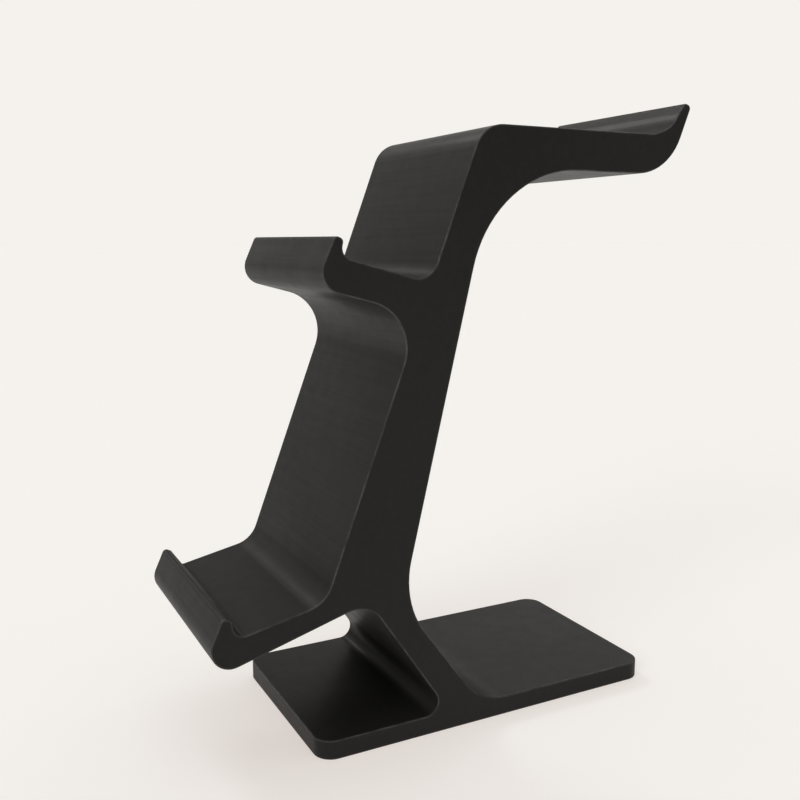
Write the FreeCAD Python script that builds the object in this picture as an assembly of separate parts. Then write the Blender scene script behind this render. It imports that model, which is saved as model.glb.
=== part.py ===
import FreeCAD, Part
import math
import os

# Desk stand with two front hooks and one rear arm: a single moulding whose
# side profile has the same width all the way along X.
# Millimetres. X runs across the stand, -Y is its front, +Z is up.
# The origin is the centre of the base plate's underside.

# ---- driving dimensions -------------------------------------------------

width = 71.4                 # whole stand, across X
edge_r = 0.35                # break on every outer edge

# base plate
base_length = 131.0
base_t = 6.5
base_corner_r = 6.3          # rounded corners of the plate, seen from above

# leaning leg: each face is a point and its forward lean from the vertical
leg_back = (-19.8, 25.0)
leg_back_lean = 36.4
leg_front = (-31.5, 25.0)
leg_front_lean = 33.8
foot_r = 20.0                # leg's back face into the rear of the plate
gap_r = 4.6                  # leg's front face into the front of the plate
bend_r = 31.0                # leg's back face into the column's back face
arch_r = 10.0                # leg's front face into the lower hook's underside

# column: each face is a point and its backward lean from the vertical
column_back = (-24.85, 97.0)
column_back_lean = 13.3
column_front = (-41.25, 111.0)
column_front_lean = 20.6
crown_r = 11.0               # top front corner of the column

# rear arm with its turned-up lip
arm_top_z = 198.1
arm_bottom_z = 184.85
arm_fillet_r = 40.0          # arm's underside into the column's back face
arm_lip_outer = (72.0, 197.5)
arm_lip_outer_slope = 68.6   # degrees above the horizontal
arm_lip_inner = (72.6, 208.3)
arm_lip_inner_slope = 60.6
arm_lip_outer_r = 20.0
arm_lip_inner_r = 14.6
arm_lip_top_z = 208.1
tip_r = 1.35                 # rounded tips of all three lips

# front hooks: the same lip at two heights
lip_face = (-63.5, 153.0)    # a point on the upper lip's front face
lip_slope = 65.6             # degrees above the horizontal
lip_inner_slope = 79.0       # upper lip's face towards the column
lip_top_z = 164.0
lip_tip_t = 3.0
lip_corner_r = 6.4           # front face into the underside
hook_floor_r = 3.5           # cradle floor into the lip
hook_under = (-57.6, 147.0)  # a point on the upper hook's underside
hook_under_fall = 15.0       # it falls towards the column by this angle
hook_t = 10.5                # thickness of the upper hook's arm
hook_fillet_r = 14.8         # upper hook's underside into the column
cradle_r = 7.0               # cradle floor into the column's front face
lower_dy = -37.0             # lower lip, measured from the upper lip
lower_dz = -109.95
lower_under = (-48.0, 50.4)  # a point on the lower hook's underside
lower_under_rise = 16.0      # it rises towards the leg by this angle
lower_floor = (-88.0, 47.5)  # a point on the lower cradle's floor
lower_floor_rise = 12.0      # it rises towards the column by this angle
lower_inner_slope = 97.0     # lower lip's face towards the column
lower_cradle_r = 10.0

# ---- profile ------------------------------------------------------------


def lean(point, back):
    """Line through a point that leans back from the vertical by an angle."""
    a = math.radians(back)
    return (point, (math.sin(a), math.cos(a)))


def rise(point, up):
    """Line through a point that rises towards +Y by an angle."""
    a = math.radians(up)
    return (point, (math.cos(a), math.sin(a)))


def shifted(line, distance):
    """Parallel line, moved to the left of its direction."""
    (y, z), (dy, dz) = line
    return ((y - dz * distance, z + dy * distance), (dy, dz))


def moved(line, dy, dz):
    (y, z), d = line
    return ((y + dy, z + dz), d)


def meet(one, two):
    """Point where two lines cross."""
    (py, pz), (dy, dz) = one
    (qy, qz), (ey, ez) = two
    det = ez * dy - ey * dz
    t = ((qy - py) * ez - (qz - pz) * ey) / det
    return (py + dy * t, pz + dz * t)


def across(line, point):
    """Line through a point, square to another line."""
    d = line[1]
    return (point, (-d[1], d[0]))


rear = base_length / 2.0
floor_line = rise((0.0, 0.0), 0.0)
plate_top = rise((0.0, base_t), 0.0)
leg_back_line = lean(leg_back, -leg_back_lean)
leg_front_line = lean(leg_front, -leg_front_lean)
col_back_line = lean(column_back, column_back_lean)
col_front_line = lean(column_front, column_front_lean)
arm_top_line = rise((0.0, arm_top_z), 0.0)
arm_bottom_line = rise((0.0, arm_bottom_z), 0.0)
arm_outer_line = rise(arm_lip_outer, arm_lip_outer_slope)
arm_inner_line = rise(arm_lip_inner, arm_lip_inner_slope)
arm_tip = meet(arm_outer_line, rise((0.0, arm_lip_top_z), 0.0))
arm_end_line = across(arm_outer_line, arm_tip)

lip_line = rise(lip_face, lip_slope)
lip_tip = meet(lip_line, rise((0.0, lip_top_z), 0.0))
lip_end_line = across(lip_line, lip_tip)
lip_tip_back = meet(lip_end_line, shifted(lip_line, -lip_tip_t))
lip_inner_line = rise(lip_tip_back, lip_inner_slope)
under_line = rise(hook_under, -hook_under_fall)
hook_floor_line = shifted(under_line, hook_t)

low_lip_line = moved(lip_line, lower_dy, lower_dz)
low_tip = (lip_tip[0] + lower_dy, lip_tip[1] + lower_dz)
low_tip_back = (lip_tip_back[0] + lower_dy, lip_tip_back[1] + lower_dz)
low_inner_line = rise(low_tip_back, lower_inner_slope)
low_under_line = rise(lower_under, lower_under_rise)
low_floor_line = rise(lower_floor, lower_floor_rise)

# corners of the profile in order, each with the radius that rounds it
corners = [
    ((rear, 0.0), 0.0),
    ((rear, base_t), 0.0),
    (meet(plate_top, leg_back_line), foot_r),
    (meet(leg_back_line, col_back_line), bend_r),
    (meet(col_back_line, arm_bottom_line), arm_fillet_r),
    (meet(arm_bottom_line, arm_outer_line), arm_lip_outer_r),
    (arm_tip, tip_r),
    (meet(arm_end_line, arm_inner_line), tip_r),
    (meet(arm_inner_line, arm_top_line), arm_lip_inner_r),
    (meet(arm_top_line, col_front_line), crown_r),
    (meet(col_front_line, hook_floor_line), cradle_r),
    (meet(hook_floor_line, lip_inner_line), hook_floor_r),
    (lip_tip_back, tip_r),
    (lip_tip, tip_r),
    (meet(lip_line, under_line), lip_corner_r),
    (meet(under_line, col_front_line), hook_fillet_r),
    (meet(col_front_line, low_floor_line), lower_cradle_r),
    (meet(low_floor_line, low_inner_line), hook_floor_r),
    (low_tip_back, tip_r),
    (low_tip, tip_r),
    (meet(low_lip_line, low_under_line), lip_corner_r),
    (meet(low_under_line, leg_front_line), arch_r),
    (meet(leg_front_line, plate_top), gap_r),
    ((-rear, base_t), 0.0),
    ((-rear, 0.0), 0.0),
]


def rounded_wire(points, x):
    """Closed wire of straight runs and tangent arcs in the plane of one X."""
    vec = lambda p: FreeCAD.Vector(x, p[0], p[1])
    ends = []
    for i, (b, r) in enumerate(points):
        a = points[i - 1][0]
        c = points[(i + 1) % len(points)][0]
        if r <= 0.0:
            ends.append((b, None, b))
            continue
        la = math.hypot(a[0] - b[0], a[1] - b[1])
        lc = math.hypot(c[0] - b[0], c[1] - b[1])
        u = ((a[0] - b[0]) / la, (a[1] - b[1]) / la)
        w = ((c[0] - b[0]) / lc, (c[1] - b[1]) / lc)
        half = math.acos(max(-1.0, min(1.0, u[0] * w[0] + u[1] * w[1]))) / 2.0
        t = r / math.tan(half)
        bis = (u[0] + w[0], u[1] + w[1])
        n = math.hypot(*bis)
        k = r / math.sin(half) - r
        ends.append((
            (b[0] + u[0] * t, b[1] + u[1] * t),
            (b[0] + bis[0] / n * k, b[1] + bis[1] / n * k),
            (b[0] + w[0] * t, b[1] + w[1] * t),
        ))
    edges = []
    for i, (start, mid, end) in enumerate(ends):
        if mid is not None:
            edges.append(Part.Arc(vec(start), vec(mid), vec(end)).toShape())
        nxt = ends[(i + 1) % len(ends)][0]
        run = math.hypot(nxt[0] - end[0], nxt[1] - end[1])
        aim = math.hypot(points[(i + 1) % len(points)][0][0] - points[i][0][0],
                         points[(i + 1) % len(points)][0][1] - points[i][0][1])
        back = ((nxt[0] - end[0]) * (points[(i + 1) % len(points)][0][0] - points[i][0][0])
                + (nxt[1] - end[1]) * (points[(i + 1) % len(points)][0][1] - points[i][0][1]))
        if back < 0.0 or run < 0.02:
            raise ValueError("corner radii overlap on run %d (%.2f of %.2f)" % (i, run, aim))
        edges.append(Part.LineSegment(vec(end), vec(nxt)).toShape())
    return Part.Wire(edges)


profile = Part.Face(rounded_wire(corners, -width / 2.0))
body = profile.extrude(FreeCAD.Vector(width, 0.0, 0.0))

# ---- rounded corners of the base plate ----------------------------------

half_w = width / 2.0


def near(a, b, tol=1e-4):
    return abs(a - b) < tol


upright = []
for e in body.Edges:
    c = e.CenterOfMass
    if near(abs(c.x), half_w) and near(abs(c.y), rear) and near(c.z, base_t / 2.0):
        upright.append(e)
body = body.makeFillet(base_corner_r, upright)

# ---- small break on the outer edges -------------------------------------
# One closed chain follows both side outlines and the plate's upper edge, and
# another goes round the plate's lower edge. The seams where the plate's rounded
# corners run into its sides are already smooth.

outer = []
for e in body.Edges:
    box = e.BoundBox
    c = e.CenterOfMass
    on_side = near(box.XMin, box.XMax) and near(abs(c.x), half_w)
    level = near(box.ZMin, box.ZMax) and (near(c.z, 0.0) or near(c.z, base_t))
    at_end = abs(c.y) > rear - base_corner_r
    upright_seam = on_side and near(box.YMin, box.YMax)
    if upright_seam:
        continue
    if on_side or (level and at_end):
        outer.append(e)
body = body.makeFillet(edge_r, outer)

if not body.isValid() or len(body.Solids) != 1:
    raise ValueError("stand_body is not one valid solid")
body = body.Solids[0]

os.makedirs("parts", exist_ok=True)
body.exportStep("parts/stand_body.step")

bb = body.BoundBox
print("stand_body volume %.1f cm3, faces %d" % (body.Volume / 1000.0, len(body.Faces)))
print("X %.2f..%.2f  Y %.2f..%.2f  Z %.2f..%.2f" % (
    bb.XMin, bb.XMax, bb.YMin, bb.YMax, bb.ZMin, bb.ZMax))
print("centre of mass %.1f %.1f %.1f" % tuple(body.CenterOfMass))
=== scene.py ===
import math

import bpy
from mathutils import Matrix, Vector

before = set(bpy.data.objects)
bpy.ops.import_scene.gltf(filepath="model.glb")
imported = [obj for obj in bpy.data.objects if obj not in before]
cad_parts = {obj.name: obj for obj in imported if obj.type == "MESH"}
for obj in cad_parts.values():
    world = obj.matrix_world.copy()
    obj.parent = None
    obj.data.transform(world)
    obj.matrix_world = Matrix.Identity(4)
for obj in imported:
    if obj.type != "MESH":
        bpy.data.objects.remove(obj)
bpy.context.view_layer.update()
scene = bpy.context.scene

# ---- light levels, linear ------------------------------------------------
# The light is set out as seen from the object: a dim room, and round soft boxes
# in it. Each box is a bearing from +X and a height above the floor, the angles
# from its middle where it fades out and where it is full, and how bright it is.

PAPER = (0.913, 0.888, 0.847)        # the lit floor and the wall behind it
ROOM = 0.05
BOXES = [
    (147.0, 22.5, 20.0, 8.0, 1.15),      # on the wall behind
    (122.0, 27.0, 18.0, 8.0, 0.75),      # beside it
    (120.0, 85.0, 60.0, 15.0, 0.80),     # broad and overhead
    (-164.0, 16.0, 20.0, 10.0, 0.88),    # large box on the left
    (-170.5, 40.0, 8.5, 3.0, 12.5),      # small bright box above it
    (60.0, 8.0, 24.0, 12.0, 0.38),       # low at the back, to the right
    (-66.0, 29.0, 18.0, 8.0, 4.50),      # front, for the upright edges
    (98.0, 52.0, 14.0, 8.0, 0.90),       # high at the back, for the top edges
]
GLOW = (0.62, 0.555, 0.545)          # share of the floor's paleness lit from below

# ---- nodes ---------------------------------------------------------------


class Tree:
    """Short way to add and link shader nodes."""

    def __init__(self, owner):
        owner.use_nodes = True
        self.nt = owner.node_tree
        self.nt.nodes.clear()

    def add(self, kind, **settings):
        node = self.nt.nodes.new(kind)
        for name, value in settings.items():
            setattr(node, name, value)
        return node

    def put(self, value, socket):
        """Link an output to a socket, or set a plain value on it."""
        if isinstance(value, bpy.types.NodeSocket):
            self.nt.links.new(value, socket)
        else:
            socket.default_value = value

    def math(self, op, *args, clamp=False):
        node = self.add("ShaderNodeMath", operation=op, use_clamp=clamp)
        for value, socket in zip(args, node.inputs):
            self.put(value, socket)
        return node.outputs[0]

    def scaled(self, vector, factors):
        node = self.add("ShaderNodeVectorMath", operation="MULTIPLY")
        self.put(vector, node.inputs[0])
        node.inputs[1].default_value = factors
        return node.outputs[0]

    def noise(self, vector, size, detail=2.0, rough=0.5, distort=0.0):
        """Noise whose features are about this many metres across."""
        node = self.add("ShaderNodeTexNoise", noise_dimensions="3D")
        self.put(vector, node.inputs["Vector"])
        node.inputs["Scale"].default_value = 1.0 / size
        node.inputs["Detail"].default_value = detail
        node.inputs["Roughness"].default_value = rough
        node.inputs["Distortion"].default_value = distort
        return node.outputs["Fac"]

    def spread(self, value, low, high, to_low, to_high, smooth=False):
        node = self.add("ShaderNodeMapRange", clamp=True)
        if smooth:
            node.interpolation_type = "SMOOTHSTEP"
        self.put(value, node.inputs["Value"])
        for name, v in (("From Min", low), ("From Max", high), ("To Min", to_low), ("To Max", to_high)):
            self.put(v, node.inputs[name])
        return node.outputs[0]

    def mix(self, factor, one, two):
        node = self.add("ShaderNodeMix", data_type="RGBA")
        self.put(factor, node.inputs["Factor"])
        colours = [s for s in node.inputs if s.type == "RGBA"]
        for value, socket in zip((one, two), colours):
            self.put(value if isinstance(value, bpy.types.NodeSocket) else (*value, 1.0), socket)
        return [s for s in node.outputs if s.type == "RGBA"][0]


# ---- black plastic -------------------------------------------------------


def black_plastic():
    mat = bpy.data.materials.new("black_plastic_moulded")
    t = Tree(mat)
    coords = t.add("ShaderNodeTexCoord")
    here = coords.outputs["Object"]

    # slow unevenness over the whole moulding, and a finer mottle on top of it
    cloud = t.noise(here, 0.045, detail=3.0, rough=0.55)
    mottle = t.noise(here, 0.0065, detail=4.0, rough=0.6)
    # fine spark-eroded grain, small specks, and faint lines drawn along the
    # stand's width, which fade out on level faces and on the two sides
    grain = t.noise(here, 0.00085, detail=3.0, rough=0.65)
    speck = t.noise(here, 0.0022, detail=2.0, rough=0.5)
    facing = t.add("ShaderNodeSeparateXYZ")
    t.put(coords.outputs["Normal"], facing.inputs[0])
    along = t.spread(t.math("ABSOLUTE", facing.outputs["X"]), 0.35, 0.80, 1.0, 0.0)
    along = t.math("MULTIPLY", along, t.spread(facing.outputs["Z"], 0.55, 0.98, 1.0, 0.3))
    streak = t.noise(t.scaled(here, (0.02, 1.0, 1.0)), 0.0012, detail=2.0, rough=0.5)
    drawn = t.math("MULTIPLY", t.spread(streak, 0.32, 0.68, -0.5, 0.5), along)

    # outer edges, where a light grey is painted in as an edge highlight
    inside = t.add("ShaderNodeAmbientOcclusion", samples=8, inside=True, only_local=True)
    inside.inputs["Distance"].default_value = 0.0006
    edge = t.spread(inside.outputs["AO"], 0.90, 0.64, 0.0, 1.0)
    painted_edge_highlight = t.math("MULTIPLY", edge, t.spread(mottle, 0.34, 0.62, 0.35, 1.0), clamp=True)

    tone = t.mix(t.spread(cloud, 0.30, 0.70, 0.0, 1.0), (0.0160, 0.0158, 0.0155), (0.0224, 0.0221, 0.0214))
    fleck = t.mix(t.spread(mottle, 0.30, 0.72, 0.0, 1.0), (0.0154, 0.0152, 0.0150), (0.0240, 0.0237, 0.0229))
    lines = t.mix(t.math("ADD", drawn, 0.5), (0.0152, 0.0150, 0.0147), (0.0222, 0.0219, 0.0213))
    dots = t.mix(t.spread(speck, 0.32, 0.68, 0.0, 1.0), (0.0138, 0.0137, 0.0134), (0.0236, 0.0233, 0.0226))
    colour = t.mix(0.5, t.mix(0.45, tone, fleck), t.mix(0.45, lines, dots))
    # painted highlight: the colour turns light grey along the outer edges
    colour = t.mix(t.math("MULTIPLY", painted_edge_highlight, 0.75), colour, (0.290, 0.286, 0.276))

    rough = t.math("ADD", t.spread(cloud, 0.30, 0.70, 0.47, 0.53), t.spread(mottle, 0.30, 0.70, -0.035, 0.035))
    rough = t.math("SUBTRACT", rough, t.math("MULTIPLY", drawn, 0.035))
    rough = t.math("SUBTRACT", rough, t.math("MULTIPLY", painted_edge_highlight, 0.08))

    height = t.math("ADD", t.math("MULTIPLY", grain, 0.7), t.math("MULTIPLY", drawn, 0.10))
    fine = t.add("ShaderNodeBump")
    fine.inputs["Strength"].default_value = 0.30
    fine.inputs["Distance"].default_value = 0.00008
    t.put(height, fine.inputs["Height"])
    slow = t.add("ShaderNodeBump")
    slow.inputs["Strength"].default_value = 0.20
    slow.inputs["Distance"].default_value = 0.0006
    t.put(cloud, slow.inputs["Height"])
    t.put(fine.outputs["Normal"], slow.inputs["Normal"])

    skin = t.add("ShaderNodeBsdfPrincipled")
    t.put(colour, skin.inputs["Base Color"])
    t.put(rough, skin.inputs["Roughness"])
    t.put(slow.outputs["Normal"], skin.inputs["Normal"])
    skin.inputs["IOR"].default_value = 1.46
    skin.inputs["Specular IOR Level"].default_value = 0.13
    # a faint smoother coat over the grain, much stronger on the outer edges where the highlight is painted
    t.put(t.spread(painted_edge_highlight, 0.0, 1.0, 0.07, 1.0), skin.inputs["Coat Weight"])
    skin.inputs["Coat Roughness"].default_value = 0.24
    out = t.add("ShaderNodeOutputMaterial")
    t.put(skin.outputs["BSDF"], out.inputs["Surface"])
    return mat


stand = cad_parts["stand_body"]
finish = black_plastic()
for slot in stand.material_slots:
    slot.material = finish

# ---- floor and light -----------------------------------------------------

half = 60.0
sheet = bpy.data.meshes.new("studio_floor")
sheet.from_pydata([(-half, -half, 0.0), (half, -half, 0.0), (half, half, 0.0), (-half, half, 0.0)], [], [(0, 1, 2, 3)])
floor = bpy.data.objects.new("studio_floor", sheet)
scene.collection.objects.link(floor)

boxes = []
for bearing, rise, fade, full, amount in BOXES:
    turn, up = math.radians(bearing), math.radians(rise)
    middle = Vector((math.cos(up) * math.cos(turn), math.cos(up) * math.sin(turn), math.sin(up)))
    boxes.append((middle, math.cos(math.radians(fade)), math.cos(math.radians(full)), amount))


def light_from(d):
    """How bright the room is in one direction."""
    total = ROOM
    for middle, low, high, level in boxes:
        k = min(1.0, max(0.0, (d.dot(middle) - low) / (high - low)))
        total += level * k * k * (3.0 - 2.0 * k)
    return total


# what reaches open floor, as the mean over the half of the room above it
rows, columns = 48, 96
reach = 0.0
for i in range(rows):
    up = math.sqrt((i + 0.5) / rows)
    flat = math.sqrt(1.0 - up * up)
    for j in range(columns):
        turn = 2.0 * math.pi * (j + 0.5) / columns
        reach += light_from(Vector((flat * math.cos(turn), flat * math.sin(turn), up)))
reach /= rows * columns

paper = bpy.data.materials.new("studio_paper")
t = Tree(paper)
where = t.add("ShaderNodeTexCoord").outputs["Object"]
fibre = t.noise(where, 0.012, detail=2.0)
albedo = [(1.0 - g) / reach for g in GLOW]
pale = t.mix(fibre, [c * 0.99 for c in albedo], [c * 1.01 for c in albedo])
matte = t.add("ShaderNodeBsdfDiffuse")
t.put(pale, matte.inputs["Color"])
below = t.add("ShaderNodeEmission")
below.inputs["Color"].default_value = (*[p * g for p, g in zip(PAPER, GLOW)], 1.0)
both = t.add("ShaderNodeAddShader")
t.put(matte.outputs["BSDF"], both.inputs[0])
t.put(below.outputs["Emission"], both.inputs[1])
t.put(both.outputs["Shader"], t.add("ShaderNodeOutputMaterial").inputs["Surface"])
sheet.materials.append(paper)

# the wall looks as pale as the floor from every side
world = bpy.data.worlds.new("studio_world")
scene.world = world
t = Tree(world)
towards = t.add("ShaderNodeTexCoord").outputs["Generated"]
level = None
for middle, low, high, amount in boxes:
    near = t.add("ShaderNodeVectorMath", operation="DOT_PRODUCT")
    t.put(towards, near.inputs[0])
    near.inputs[1].default_value = middle
    part = t.spread(near.outputs["Value"], low, high, 0.0, amount, smooth=True)
    level = t.math("ADD", part, ROOM if level is None else level)
lit = t.add("ShaderNodeBackground")
lit.inputs["Color"].default_value = (*PAPER, 1.0)
t.put(level, lit.inputs["Strength"])
wall = t.add("ShaderNodeBackground")
wall.inputs["Color"].default_value = (*PAPER, 1.0)
pick = t.add("ShaderNodeMixShader")
t.put(t.add("ShaderNodeLightPath").outputs["Is Camera Ray"], pick.inputs["Fac"])
t.put(lit.outputs["Background"], pick.inputs[1])
t.put(wall.outputs["Background"], pick.inputs[2])
t.put(pick.outputs["Shader"], t.add("ShaderNodeOutputWorld").inputs["Surface"])

# ---- camera --------------------------------------------------------------

eye = Vector((0.28702, -0.16799, 0.16214))
aim = Vector((-0.00011, -0.01892, 0.10713))
cam = bpy.data.cameras.new("photo_camera")
cam.sensor_fit = "HORIZONTAL"
cam.sensor_width = 36.0
cam.lens = 42.0
cam.clip_start = 0.01
cam.clip_end = 400.0
camera = bpy.data.objects.new("photo_camera", cam)
camera.location = eye
camera.rotation_euler = (aim - eye).to_track_quat("-Z", "Y").to_euler()
scene.collection.objects.link(camera)
scene.camera = camera

scene.view_settings.view_transform = "Standard"
scene.view_settings.look = "None"
scene.view_settings.exposure = 0.0
scene.view_settings.gamma = 1.0
